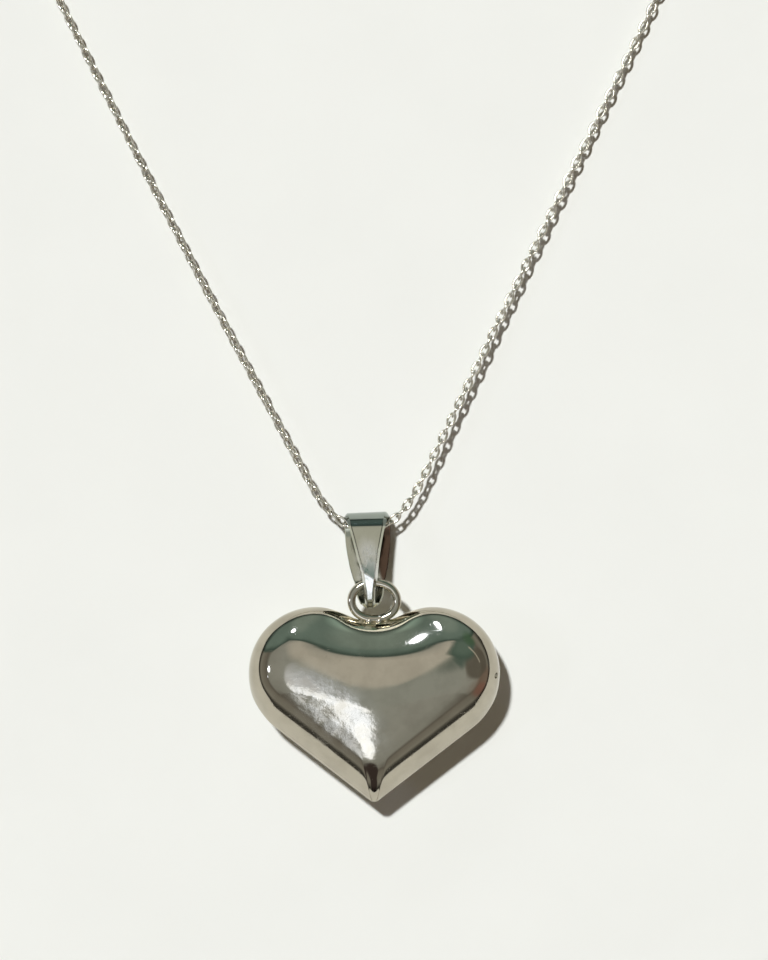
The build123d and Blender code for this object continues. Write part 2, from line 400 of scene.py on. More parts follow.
@dataclass(frozen=True)
class PolishedSilver:
    """Polished sterling silver: a warm mirror under hair scratches and a little tarnish.

    Args:
        name: the material's name.
        colour: silver's own reflection.
        tarnish: the grey-brown that sulphide leaves.
        tarnish_share: how much of it shows.
        roughness: of the mirror between the scratches.
        scratch_width: of a hair scratch, drawn as coarse as the render shows.
        scratch_length: of a hair scratch.
        scratch_share: from 0, none, to 1, crowded.
        waviness: height of the unevenness that hand polishing leaves.
        wave_length: of that unevenness.
        lay: how the scratches run.
        worn: the area where they crowd, or None.
        painted_light_areas: areas where a reflection or shade is painted into the colour.
        dint_depth: of the small dints where it is worn.
        rubbed_and_sheen: the whiter colour of worn silver, partly a painted sheen.
        rubbed_and_sheen_share: how much of it shows where the wear is full.
    """

    name: str
    colour: str = "#BDB6A6"
    tarnish: str = "#80776A"
    tarnish_share: float = 0.3
    roughness: float = 0.06
    scratch_width: float = 0.09 * MM
    scratch_length: float = 1.5 * MM
    scratch_share: float = 0.4
    waviness: float = 0.003 * MM
    wave_length: float = 3.0 * MM
    lay: Lay = Lay.CROSSED
    dint_depth: float = 0.04 * MM
    rubbed_and_sheen: str = "#F0F0EE"
    rubbed_and_sheen_share: float = 0.35
    worn: WornPatch | None = None
    painted_light_areas: tuple[PaintedLightPatch, ...] = ()

    def scratch_layer(self, tree: Tree, coords: Socket, turn: float) -> Socket:
        """One layer of long thin scratches.

        Args:
            tree: the material's node tree.
            coords: object coordinates.
            turn: their direction about Z, in degrees.

        Returns:
            A socket that is 1 in a scratch and 0 beside it.
        """
        heading = {"Rotation": (0.0, 0.0, math.radians(turn))}
        turned = add_node(tree, "Mapping", heading, {"Vector": coords})
        stretch = (1 / self.scratch_width, 1 / self.scratch_length, 1 / self.scratch_length)
        # each layer draws from its own part of the noise
        strokes = {"Location": (turn, 2 * turn, 0.0), "Scale": stretch}
        drawn = add_node(tree, "Mapping", strokes, {"Vector": turned.outputs[0]})
        grain = add_node(tree, "TexNoise", {"Scale": 1.0, "Detail": 1.5}, {"Vector": drawn.outputs[0]})
        # a scratch is a crest of the noise: the lower the level it starts at, the more there are
        low = FEWEST_SCRATCHES - SCRATCH_SPREAD * self.scratch_share
        crest = {"From Min": low, "From Max": low + SCRATCH_FADE}
        return add_node(tree, "MapRange", crest, {"Value": grain.outputs[0]}).outputs[0]

    def worn_share(self, tree: Tree, coords: Socket) -> Socket:
        """How worn the surface is, patchily, inside the worn area.

        Args:
            tree: the material's node tree.
            coords: object coordinates.

        Returns:
            A socket from 0, as new, to 1, worn.
        """
        share = oval_share(tree, coords, self.worn.centre, self.worn.reach, self.worn.turn, WEAR_EDGE)
        cloud = add_node(tree, "TexNoise", {"Scale": 1 / WEAR_SIZE, "Detail": 4.0}, {"Vector": coords})
        # between these two levels of the noise, wear goes from a fifth to full
        spread = {"From Min": 0.36, "From Max": 0.6, "To Min": 0.2, "To Max": 1.0}
        patchy = add_node(tree, "MapRange", spread, {"Value": cloud.outputs[0]})
        both = {0: share, 1: patchy.outputs[0]}
        return add_node(tree, "Math", {"operation": "MULTIPLY"}, both).outputs[0]

    def material(self) -> bpy.types.Material:
        """Builds the finish.

        Returns:
            The material.
        """
        finish, tree, shader, coords = new_finish(self.name)
        shader.inputs["Metallic"].default_value = 1.0
        product, mixed = {"operation": "MULTIPLY"}, {"data_type": "RGBA"}

        marks = None
        for turn in self.lay.value:
            layer = self.scratch_layer(tree, coords, turn)
            if marks is not None:
                layer = add_node(tree, "Math", {"operation": "MAXIMUM"}, {0: marks, 1: layer}).outputs[0]
            marks = layer
        waves = {"Scale": 1 / self.wave_length, "Detail": 1.0}
        swell = add_node(tree, "TexNoise", waves, {"Vector": coords})
        uneven = {"Strength": 1.0, "Distance": self.waviness}
        relief = add_node(tree, "Bump", uneven, {"Height": swell.outputs[0]})
        # scratches scatter the mirror image: duller, and brighter where a lamp is near
        scatter = {"operation": "MULTIPLY_ADD", 1: SCRATCH_ROUGHNESS, 2: self.roughness}
        rough = add_node(tree, "Math", scatter, {0: marks})
        if self.worn:
            worn = self.worn_share(tree, coords)
            # away from the wear, scratches show at three tenths
            crowd = add_node(tree, "MapRange", {"To Min": 0.3, "To Max": 1.0}, {"Value": worn})
            marks = add_node(tree, "Math", product, {0: marks, 1: crowd.outputs[0]}).outputs[0]
            tree.links.new(marks, rough.inputs[0])
            haze = {"operation": "MULTIPLY_ADD", 1: WEAR_ROUGHNESS}
            rough = add_node(tree, "Math", haze, {0: worn, 2: rough.outputs[0]})
            dints = add_node(tree, "TexNoise", {"Scale": 1 / DINT_SIZE, "Detail": 3.0}, {"Vector": coords})
            depth = add_node(tree, "Math", product, {0: worn, 1: dints.outputs[0]})
            dinted = {"Strength": 1.0, "Distance": self.dint_depth}
            under = {"Height": depth.outputs[0], "Normal": relief.outputs[0]}
            relief = add_node(tree, "Bump", dinted, under)
        tree.links.new(rough.outputs[0], shader.inputs["Roughness"])
        cut = {"Strength": 0.25, "Distance": SCRATCH_DEPTH, "invert": True}
        grooves = add_node(tree, "Bump", cut, {"Height": marks, "Normal": relief.outputs[0]})
        tree.links.new(grooves.outputs[0], shader.inputs["Normal"])

        stain = add_node(tree, "TexNoise", {"Scale": 1 / STAIN_SIZE, "Detail": 5.0}, {"Vector": coords})
        # tarnish starts at the first level of the noise and is full at the second
        spread = {"From Min": 0.42, "From Max": 0.75, "To Max": self.tarnish_share}
        stained = add_node(tree, "MapRange", spread, {"Value": stain.outputs[0]})
        bare = mixed | {6: linear(self.colour), 7: linear(self.tarnish)}
        tint = add_node(tree, "Mix", bare, {0: stained.outputs[0]})
        # paler where worn: rubbed silver, partly a painted sheen
        if self.worn:
            rubbed_sheen = add_node(tree, "MapRange", {"To Max": self.rubbed_and_sheen_share}, {"Value": worn})
            over = {0: rubbed_sheen.outputs[0], 6: tint.outputs[2]}
            tint = add_node(tree, "Mix", mixed | {7: linear(self.rubbed_and_sheen)}, over)
        # painted reflections and painted shade, laid over the silver's colour
        for area in self.painted_light_areas:
            share = oval_share(tree, coords, area.centre, area.reach, 0.0, area.edge)
            other = mixed | {7: linear(area.colour)}
            tint = add_node(tree, "Mix", other, {0: share, 6: tint.outputs[2]})
        tree.links.new(tint.outputs[2], shader.inputs["Base Color"])
        return finish


@dataclass(frozen=True)
class MattBoard:
    """Matt off-white board, faintly mottled."""

    name: str = "matt off-white board"
    colour: str = "#F4F4EE"
    mottle: str = "#EFEFE9"
    mottle_size: float = 14 * MM
    roughness: float = 0.9
    gloss: float = 0.1

    def material(self) -> bpy.types.Material:
        """Builds the finish.

        Returns:
            The material.
        """
        finish, tree, shader, coords = new_finish(self.name)
        shader.inputs["Roughness"].default_value = self.roughness
        shader.inputs["Specular IOR Level"].default_value = self.gloss
        grain = {"Scale": 1 / self.mottle_size, "Detail": 4.0}
        cloud = add_node(tree, "TexNoise", grain, {"Vector": coords})
        tones = {"data_type": "RGBA", 6: linear(self.colour), 7: linear(self.mottle)}
        blend = add_node(tree, "Mix", tones, {0: cloud.outputs[0]})
        tree.links.new(blend.outputs[2], shader.inputs["Base Color"])
        return finish


@dataclass(frozen=True)
class Level:
    """One level of the heart's half shell, as shares of the heart's own sizes.

    Args:
        rise: height above the seam, of half the depth.
        width: half width, of half the heart's width.
        top: lobe tops above the middle, of half the heart's length.
        lobe: lobe radius, of the seam outline's.
        notch: depth of the notch below the lobe tops, of the seam outline's.
        tip: reach of the tip below the middle, of half the heart's length.
        point: radius of the tip, of the seam outline's.
    """

    rise: float
    width: float
    top: float
    lobe: float
    notch: float
    tip: float
    point: float


@dataclass
class HeartShell:
    """The puffed heart: two stamped halves soldered along a seam, with a vent hole."""

    width: float = 25.1 * MM
    length: float = 19.44 * MM
    depth: float = 9.0 * MM
    lobe_radius: float = 6.65 * MM
    notch_depth: float = 1.42 * MM
    tip_radius: float = 0.8 * MM
    hip_radius: float = 9.5 * MM
    hip_angle: float = 43.0
    crown_lift: float = 0.09 * MM
    seam_bevel: float = 0.05 * MM
    smoothing: int = 3
    # polishing rounds off the skin further than each height from the seam: (height, passes)
    polish: tuple[tuple[float, int], ...] = (
        (0.35 * MM, 6),
        (2.2 * MM, 6),
        (2.8 * MM, 12),
        (3.3 * MM, 30),
        (3.8 * MM, 120),
    )
    vent_radius: float = 0.3 * MM
    vent_along: float = 3.0 * MM
    vent_above_seam: float = 1.6 * MM
    vent_depth: float = 1.2 * MM
    notch_spans: int = 3
    lobe_spans: int = 10
    hip_spans: int = 2
    flank_spans: int = 4
    tip_spans: int = 3
    cage_rounds: int = 4
    vent_sides: int = 32
    sharp_angle: float = 35.0
    levels: tuple[Level, ...] = (
        Level(0.000, 1.000, 1.000, 1.00, 1.00, 1.000, 1.0),
        Level(0.270, 0.983, 0.958, 0.875, 1.02, 0.883, 1.6),
        Level(0.540, 0.925, 0.818, 0.650, 0.84, 0.714, 2.5),
        Level(0.760, 0.820, 0.655, 0.430, 0.62, 0.517, 3.5),
        Level(0.890, 0.665, 0.495, 0.270, 0.38, 0.299, 4.0),
        Level(0.955, 0.460, 0.355, 0.220, 0.12, 0.160, 3.7),
        Level(1.000, 0.240, 0.240, 0.140, 0.01, 0.030, 0.9),
    )

    def centre(self) -> Vector:
        """Middle of the seam outline, from the CAD heart's box."""
        low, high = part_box("heart")
        return Vector(((low.x + high.x) / 2, low.y + self.length / 2, low.z + self.depth / 2))

    def outline(self, level: Level) -> list[tuple[float, float]]:
        """Points of the outline at one level, clockwise from the notch.

        Args:
            level: the level's shares.

        Returns:
            The points about the heart's middle, the same number at every level.
        """
        half = self.length / 2
        top = level.top * half
        radius = level.lobe * self.lobe_radius
        lobe = (level.width * self.width / 2 - radius, top - radius)
        notch_y = top - level.notch * self.notch_depth
        over = notch_y - lobe[1]
        notch_radius = (lobe[0] ** 2 + over**2 - radius**2) / (2 * (radius - over))
        notch_centre = notch_y + notch_radius
        crest = math.atan2(notch_centre - lobe[1], -lobe[0])
        hip_turn = -math.radians(self.hip_angle)
        hip_radius = level.lobe * self.hip_radius
        hip = (
            lobe[0] - (hip_radius - radius) * math.cos(hip_turn),
            lobe[1] - (hip_radius - radius) * math.sin(hip_turn),
        )
        point = level.point * self.tip_radius
        point_y = point - level.tip * half
        span = math.hypot(hip[0], hip[1] - point_y)
        flank = math.atan2(hip[1] - point_y, hip[0]) - math.acos((point - hip_radius) / span)

        def arc(
            centre: tuple[float, float], size: float, first: float, last: float, spans: int
        ) -> list[tuple[float, float]]:
            """Points along an arc, without its first one."""
            turns = [first + (last - first) * step / spans for step in range(1, spans + 1)]
            return [(centre[0] + size * math.cos(t), centre[1] + size * math.sin(t)) for t in turns]

        right = arc((0, notch_centre), notch_radius, -math.pi / 2, crest - math.pi, self.notch_spans)
        right += arc(lobe, radius, crest, hip_turn, self.lobe_spans)
        right += arc(hip, hip_radius, hip_turn, flank, self.hip_spans)
        start = right[-1]
        end = (point * math.cos(flank), point_y + point * math.sin(flank))
        for step in range(1, self.flank_spans + 1):
            share = step / self.flank_spans
            right.append((start[0] + (end[0] - start[0]) * share, start[1] + (end[1] - start[1]) * share))
        right += arc((0, point_y), point, flank, -math.pi / 2, self.tip_spans)
        left = [(-x, y) for x, y in reversed(right[:-1])]
        return [(0.0, notch_y)] + right + left

    def rings(self) -> list[list[Vector]]:
        """Rings of points from the lower crown over the seam to the upper crown.

        Returns:
            The rings about the heart's middle, on the finished surface.
        """
        half_depth = self.depth / 2 - self.crown_lift
        upper = []
        for level in self.levels:
            upper.append([Vector((x, y, level.rise * half_depth)) for x, y in self.outline(level)])
        lower = [[Vector((p.x, p.y, -p.z)) for p in ring] for ring in reversed(upper[1:])]
        return lower + upper

    def cage(self, surface: list[list[Vector]]) -> list[list[Vector]]:
        """Control points whose subdivision surface passes through the rings.

        Args:
            surface: rings that the finished surface passes through.

        Returns:
            Rings of control points, a little outside them.
        """
        count = len(surface[0])
        seam = len(surface) // 2
        cage = [[p.copy() for p in ring] for ring in surface]
        for _ in range(self.cage_rounds):
            drawn = [[p.copy() for p in ring] for ring in cage]
            for i in range(1, len(surface) - 1):
                for j in range(count):
                    here, back, on = cage[i][j], cage[i][j - 1], cage[i][(j + 1) % count]
                    # where the subdivided surface comes to rest, on the crease and off it
                    if i == seam:
                        limit = (4 * here + back + on) / 6
                    else:
                        sides = back + on + cage[i - 1][j] + cage[i + 1][j]
                        corners = cage[i - 1][j - 1] + cage[i + 1][j - 1]
                        corners = corners + cage[i - 1][(j + 1) % count] + cage[i + 1][(j + 1) % count]
                        limit = (16 * here + 4 * sides + corners) / 36
                    drawn[i][j] = here + surface[i][j] - limit
            cage = drawn
        return cage

    def cap(self, shell: Piece, ring: list[Vector]) -> None:
        """Fills the selected end ring with a slightly domed grid of faces.

        Args:
            shell: the heart, in edit mode.
            ring: the end ring's points.
        """
        bpy.ops.mesh.select_mode(type="VERT")
        mesh = bmesh.from_edit_mesh(shell.data)
        mesh.select_history.clear()
        chosen = [vert for vert in mesh.verts if vert.select]
        corner = ring[len(ring) // 8]
        mesh.select_history.add(min(chosen, key=lambda vert: (vert.co - corner).length))
        bmesh.update_edit_mesh(shell.data)
        bpy.ops.mesh.fill_grid(span=len(ring) // 4)
        mesh = bmesh.from_edit_mesh(shell.data)
        rim = {vert for vert in mesh.verts if min((vert.co - p).length for p in ring) < TOUCH}
        half_width = max(p.x for p in ring)
        middle_y = (max(p.y for p in ring) + min(p.y for p in ring)) / 2
        half_height = max(p.y for p in ring) - middle_y
        side = math.copysign(1.0, ring[0].z)
        for vert in mesh.verts:
            if vert.select and vert not in rim:
                away = (vert.co.x / half_width) ** 2 + ((vert.co.y - middle_y) / half_height) ** 2
                vert.co.z = ring[0].z + side * self.crown_lift * max(0.0, 1.0 - away)
        bmesh.update_edit_mesh(shell.data)

    def drill_vent(self, shell: Piece) -> None:
        """Drills the vent hole into the right side, just above the seam."""
        select_only()
        bpy.ops.mesh.primitive_cylinder_add(
            vertices=self.vent_sides,
            radius=self.vent_radius,
            depth=2 * self.vent_depth,
            location=(self.width / 2, self.vent_along, self.vent_above_seam),
            rotation=(0, math.radians(90), 0),
        )
        drill = named("vent_drill")
        settle(drill)
        apply_modifier(shell, "BOOLEAN", {"operation": "DIFFERENCE", "object": drill, "solver": "EXACT"})
        bpy.data.objects.remove(drill)

    def build(self) -> Piece:
        """Builds the puffed form about the origin, then moves it to its place.

        Returns:
            The heart, with its place in its mesh.
        """
        rings = self.cage(self.rings())
        shell = extrude_through("heart_shell", rings)
        self.cap(shell, rings[-1])
        select_edges(shell, lambda p: p.z < rings[0][0].z + TOUCH)
        self.cap(shell, rings[0])
        select_edges(shell, lambda p: abs(p.z) < TOUCH)
        bpy.ops.transform.edge_crease(value=1.0)
        close_and_face_out(shell)
        apply_modifier(shell, "SUBSURF", {"levels": self.smoothing, "render_levels": self.smoothing})
        bpy.ops.object.mode_set(mode="EDIT")
        select_edges(shell, lambda p: abs(p.z) < TOUCH)
        bpy.ops.mesh.bevel(offset=self.seam_bevel, segments=2, profile=0.5, affect="EDGES")
        for height, passes in self.polish:
            select_edges(shell, lambda p: abs(p.z) > height)
            bpy.ops.mesh.vertices_smooth(factor=0.5, repeat=passes)
        bpy.ops.object.mode_set(mode="OBJECT")
        self.drill_vent(shell)
        shell.location = self.centre()
        settle(shell)
        smooth_shade(shell, self.sharp_angle)
        return shell


@dataclass
class NotchRing:
    """The wire ring in the heart's notch, with the solder that holds it."""

    width: float = 5.4 * MM
    length: float = 4.5 * MM
    wire: float = 0.84 * MM
    seat: float = 0.2 * MM
    # drops of solder, sideways and up from the notch, with their radii
    drops: tuple[Triple, ...] = (
        (-1.2 * MM, 0.2 * MM, 0.34 * MM),
        (-0.5 * MM, 0.02 * MM, 0.46 * MM),
        (0.5 * MM, 0.02 * MM, 0.46 * MM),
        (1.2 * MM, 0.2 * MM, 0.34 * MM),
    )
    grain: float = 0.05 * MM
    melting: int = 7
    sides: tuple[int, int] = (96, 24)
    drop_sides: tuple[int, int] = (32, 16)

    def build(self, heart_centre: Vector) -> Piece:
        """Bends the ring, lays the solder in the notch and melts them together.

        Args:
            heart_centre: middle of the heart's seam outline.

        Returns:
            The soldered ring.
        """
        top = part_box("heart")[1].y
        middle = Vector((heart_centre.x, top - self.length / 2, heart_centre.z))
        notch_y = top - self.length + self.seat
        ring = oval_ring("heart_ring", self.width, self.length, self.wire, self.sides)
        ring.location = middle
        parts = [ring]
        for aside, up, radius in self.drops:
            bpy.ops.mesh.primitive_uv_sphere_add(
                segments=self.drop_sides[0],
                ring_count=self.drop_sides[1],
                radius=radius,
                location=(middle.x + aside, notch_y + up, middle.z),
            )
            parts.append(bpy.context.object)
        soldered = join_as("heart_ring", parts)
        settle(soldered)
        weld(soldered, self.grain, self.melting)
        close_and_face_out(soldered)
        smooth_shade(soldered, ALL_SMOOTH)
        return soldered


@dataclass(frozen=True)
class Bend:
    """A circle that a strip is bent round, in its side view."""

    along: float
    height: float
    radius: float


@dataclass(frozen=True)
class Stretch:
    """A straight or an arc of a belt, from one bend to the next or round one bend."""

    first: Bend
    last: Bend
    turn_in: float
    turn_out: float

    def at(self, share: float) -> tuple[Vector, Vector]:
        """Place and outward normal, a share of the way along.

        Args:
            share: from 0 to 1.

        Returns:
            The point and the unit normal, in the side view.
        """
        turn = self.turn_in + (self.turn_out - self.turn_in) * share
        normal = Vector((math.cos(turn), math.sin(turn)))
        along = self.first.along + (self.last.along - self.first.along) * share
        height = self.first.height + (self.last.height - self.first.height) * share
        radius = self.first.radius + (self.last.radius - self.first.radius) * share
        return Vector((along, height)) + radius * normal, normal

    def length(self) -> float:
        """Its length."""
        if self.first is self.last:
            return self.first.radius * (self.turn_out - self.turn_in)
        return (self.at(1.0)[0] - self.at(0.0)[0]).length


def belt_round(bends: tuple[Bend, ...]) -> list[Stretch]:
    """Arcs and straights of a belt pulled round bends.

    Args:
        bends: the bends, anticlockwise.

    Returns:
        The stretches in order, an arc and a straight for each bend.
    """
    sides = []
    for here, after in zip(bends, bends[1:] + bends[:1]):
        rise, run = after.height - here.height, after.along - here.along
        lean = math.acos((here.radius - after.radius) / math.hypot(rise, run))
        sides.append(math.atan2(rise, run) - lean)
    stretches = []
    for i, here in enumerate(bends):
        turn_in = sides[i - 1]
        turn_out = turn_in + (sides[i] - turn_in) % (2 * math.pi)
        stretches.append(Stretch(here, here, turn_in, turn_out))
        stretches.append(Stretch(here, bends[(i + 1) % len(bends)], turn_out, turn_out))
    return stretches


@dataclass(frozen=True)
class LegWidth:
    """Widths of the bail's two legs, as shares of its full width.

    Args:
        along: from the fold's outermost line to the end of the curl, share of the length.
        front: the upper leg's width there.
        back: the lower leg's width there.
    """

    along: float
    front: float
    back: float


@dataclass
class BailStrip:
    """The bail: one folded strip whose narrow tongue turns back through the ring."""

    fold_x: float = 1.83 * MM
    fold_y: float = -78.2 * MM
    length: float = 9.55 * MM
    width: float = 4.6 * MM
    strip: float = 0.45 * MM
    lean: float = 2.4
    edge: float = 0.3 * MM
    edge_drop: float = 0.36 * MM
    back_edge: float = 0.08 * MM
    skew: float = 0.75
    skew_reach: float = 1.2 * MM
    fold: Bend = Bend(0.0, 2.35 * MM, 2.25 * MM)
    curl: Bend = Bend(6.55 * MM, 3.8 * MM, 0.75 * MM)
    heel: Bend = Bend(4.25 * MM, 2.25 * MM, 1.4 * MM)
    tongue: Bend = Bend(6.13 * MM, 4.6 * MM, 0.7 * MM)
    kink: Bend = Bend(4.05 * MM, 5.2 * MM, 0.65 * MM)
    step: float = 0.25 * MM
    turn_step: float = 8.0
    easing: int = 6
    sharp_angle: float = 28.0
    legs: tuple[LegWidth, ...] = (
        LegWidth(0.00, 1.000, 1.000),
        LegWidth(0.16, 0.760, 1.000),
        LegWidth(0.36, 0.576, 0.980),
        LegWidth(0.60, 0.378, 0.830),
        LegWidth(0.72, 0.293, 0.680),
        LegWidth(0.80, 0.245, 0.620),
        LegWidth(0.88, 0.220, 0.600),
        LegWidth(0.95, 0.220, 0.480),
        LegWidth(1.00, 0.220, 0.220),
    )

    def width_at(self, along: float, is_front: bool) -> float:
        """Width of one leg at a distance from the fold's middle.

        Args:
            along: distance towards the heart.
            is_front: True for the upper leg.

        Returns:
            The width.
        """
        share = min(max((along + self.fold.radius) / self.length, 0.0), 1.0)
        for row, after in zip(self.legs, self.legs[1:]):
            if share <= after.along:
                break
        low, high = (row.front, after.front) if is_front else (row.back, after.back)
        return self.width * (low + (high - low) * (share - row.along) / (after.along - row.along))

    def section(self, width: float) -> list[tuple[float, float]]:
        """Points round the strip's section, rounded along its outer edges.

        Args:
            width: of the strip.

        Returns:
            Pairs of distance across and height over the strip's middle.
        """
        half, top = width / 2, self.strip / 2
        # the narrow tongue is rounded over less
        edge = min(self.edge, 0.3 * width)
        right = [
            (half - edge, top),
            (half - 0.5 * edge, top - 0.35 * self.edge_drop),
            (half, top - self.edge_drop),
            (half, self.back_edge - top),
            (half - self.back_edge, -top),
        ]
        return right + [(-across, up) for across, up in reversed(right)]

    def build(self) -> Piece:
        """Extrudes the strip's section round its folded path.

        Returns:
            The bail, with its place in its mesh.
        """
        middle = self.strip / 2
        bends = tuple(
            Bend(bend.along, bend.height, bend.radius - middle)
            for bend in (self.fold, self.heel, self.curl, self.tongue, self.kink)
        )
        stations = []
        for stretch in belt_round(bends):
            steps = math.ceil(stretch.length() / self.step)
            if stretch.first is stretch.last:
                turn = math.degrees(stretch.turn_out - stretch.turn_in)
                steps = math.ceil(turn / self.turn_step)
            stations += [stretch.at(step / steps) for step in range(steps)]
        split = Vector((self.curl.along, self.curl.height - self.fold.height))
        widths = []
        for point, _ in stations:
            above = split.x * (point.y - self.fold.height) - split.y * point.x
            widths.append(self.width_at(point.x, above > 0))
        for _ in range(self.easing):
            widths = [
                (widths[i - 1] + 2 * widths[i] + widths[(i + 1) % len(widths)]) / 4
                for i in range(len(widths))
            ]
        kink_top = Vector((self.kink.along, self.kink.height + self.kink.radius))
        turn = Matrix.Rotation(math.radians(self.lean), 4, "Z")
        place = Matrix.Translation((self.fold_x, self.fold_y, 0)) @ turn
        rings = []
        for (point, normal), width in zip(stations, widths):
            skew = self.skew * math.exp(-(((point - kink_top).length / self.skew_reach) ** 2))
            ring = []
            for across, up in self.section(width):
                along, height = point + up * normal
                ring.append(place @ Vector((across, -(along + skew * across), height)))
            rings.append(ring)
        bail = extrude_through("bail_strip", rings + rings[:1])
        close_and_face_out(bail)
        smooth_shade(bail, self.sharp_angle)
        return bail


@dataclass
class CableChain:
    """The whole loop of oval cable links, each threaded through the next."""

    link_length: float = 1.6 * MM
    link_width: float = 0.95 * MM
    wire: float = 0.26 * MM
    pitch: float = 0.965 * MM
    sides: int = 14
    wire_sides: int = 6
    roll_jitter: float = 9.0
    yaw_jitter: float = 3.0
    seed: int = 20
    route_order: int = 3
    route_detail: int = 48
    ends: Triple = (4.525 * MM, 102.0 * MM, 0.48 * MM)
    route: tuple[Triple, ...] = (
        (-17.2, 102.1, 0.48),
        (-40.2, 86.6, 0.48),
        (-55.2, 65.2, 0.48),
        (-57.4, 33.5, 0.48),
        (-33.3, -16.4, 0.6),
        (-17.2, -48.4, 1.25),
        (-6.85, -67.7, 1.9),
        (-1.37, -77.7, 2.35),
        (4.9, -77.7, 2.35),
        (9.9, -67.4, 1.9),
        (19.4, -47.7, 1.25),
        (35.5, -15.2, 0.6),
        (57.7, 35.1, 0.48),
        (54.7, 66.4, 0.48),
        (39.8, 86.9, 0.48),
        (17.2, 102.1, 0.48),
    )
    # turn of every other link about the chain's line, from flat: (share of the loop, degrees)
    twists: tuple[tuple[float, float], ...] = (
        (0.00, 90.0),
        (0.08, 48.0),
        (0.30, 30.0),
        (0.46, 24.0),
        (0.505, 14.0),
        (0.53, 2.0),
        (0.60, -4.0),
        (0.72, -30.0),
        (0.92, -40.0),
        (1.00, 0.0),
    )

    def line(self) -> list[Vector]:
        """Points along the chain's smooth line, from its NURBS spline.

        Returns:
            Closely spaced points from one end to the other.
        """
        reach, back, height = self.ends
        points = [(-reach, back, height)]
        points += [(x * MM, y * MM, z * MM) for x, y, z in self.route]
        points.append((reach, back, height))
        curve = bpy.data.curves.new("chain_route", "CURVE")
        curve.dimensions = "3D"
        spline = curve.splines.new("NURBS")
        spline.points.add(len(points) - 1)
        for control, point in zip(spline.points, points):
            control.co = (*point, 1.0)
        spline.order_u = self.route_order
        spline.use_endpoint_u = True
        spline.resolution_u = self.route_detail
        carrier = bpy.data.objects.new("chain_route", curve)
        bpy.context.collection.objects.link(carrier)
        mesh = bpy.data.meshes.new_from_object(carrier)
        line = [vert.co.copy() for vert in mesh.vertices]
        bpy.data.objects.remove(carrier)
        bpy.data.meshes.remove(mesh)
        bpy.data.curves.remove(curve)
        return line

    def stations(self) -> list[tuple[Vector, Vector]]:
        """Middles and directions of the links, evenly spaced along the line.

        Returns:
            One place and one unit direction for each link.
        """
        line = self.line()
        reached = [0.0]
        for here, after in zip(line, line[1:]):
            reached.append(reached[-1] + (after - here).length)
        length = reached[-1]
        count = round(length / self.pitch)
        spots = []
        step = 0
        for i in range(count + 1):
            wanted = length * i / count
            while step < len(line) - 2 and reached[step + 1] < wanted:
                step += 1
            share = (wanted - reached[step]) / (reached[step + 1] - reached[step])
            spots.append(line[step].lerp(line[step + 1], share))
        log.info("chain: %.1f mm, %d links", length / MM, count + 1)
        directions = []
        for i in range(len(spots)):
            before, after = spots[max(i - 1, 0)], spots[min(i + 1, count)]
            directions.append((after - before).normalized())
        return list(zip(spots, directions))

    def link(self) -> Piece:
        """One oval link about the origin, lying flat, its length along X."""
        sides = (self.sides, self.wire_sides)
        return oval_ring("chain_link", self.link_length, self.link_width, self.wire, sides)

    def twist_at(self, share: float) -> float:
        """Turn of the even links about the line, in degrees, a share of the way round."""
        for (start, low), (end, high) in zip(self.twists, self.twists[1:]):
            if share <= end:
                return low + (high - low) * (share - start) / (end - start)
        return self.twists[-1][1]

    def build(self) -> Piece:
        """Copies the link along the line, each turned a quarter from the last.

        Returns:
            All the links as one mesh.
        """
        draw = random.Random(self.seed)
        pattern = self.link()
        stations = self.stations()
        last = len(stations) - 1
        half_hole = (self.link_width - self.wire) / 2
        links = []
        for i, (spot, direction) in enumerate(stations):
            twist = self.twist_at(i / last)
            standing = max(abs(math.sin(math.radians(twist))), abs(math.cos(math.radians(twist))))
            # a chain whose links lie at a slant settles nearer to the surface
            sink = half_hole * (1 - standing)
            free = 0.0 if i in (0, last) else 1.0
            roll = twist + 90 * (i % 2) + free * draw.uniform(-self.roll_jitter, self.roll_jitter)
            yaw = free * draw.uniform(-self.yaw_jitter, self.yaw_jitter)
            side = Vector((0, 0, 1)).cross(direction).normalized()
            up = direction.cross(side)
            axes = Matrix((direction, side, up)).transposed().to_4x4()
            rolled = axes @ Matrix.Rotation(math.radians(roll), 4, "X")
            turned = rolled @ Matrix.Rotation(math.radians(yaw), 4, "Z")
            mesh = pattern.data.copy()
            mesh.transform(Matrix.Translation(spot - Vector((0, 0, sink))) @ turned)
            copy = bpy.data.objects.new(f"chain_link_{i}", mesh)
            bpy.context.collection.objects.link(copy)
            links.append(copy)
        bpy.data.objects.remove(pattern)
        chain = join_as("chain_links", links)
        smooth_shade(chain, ALL_SMOOTH)
        return chain


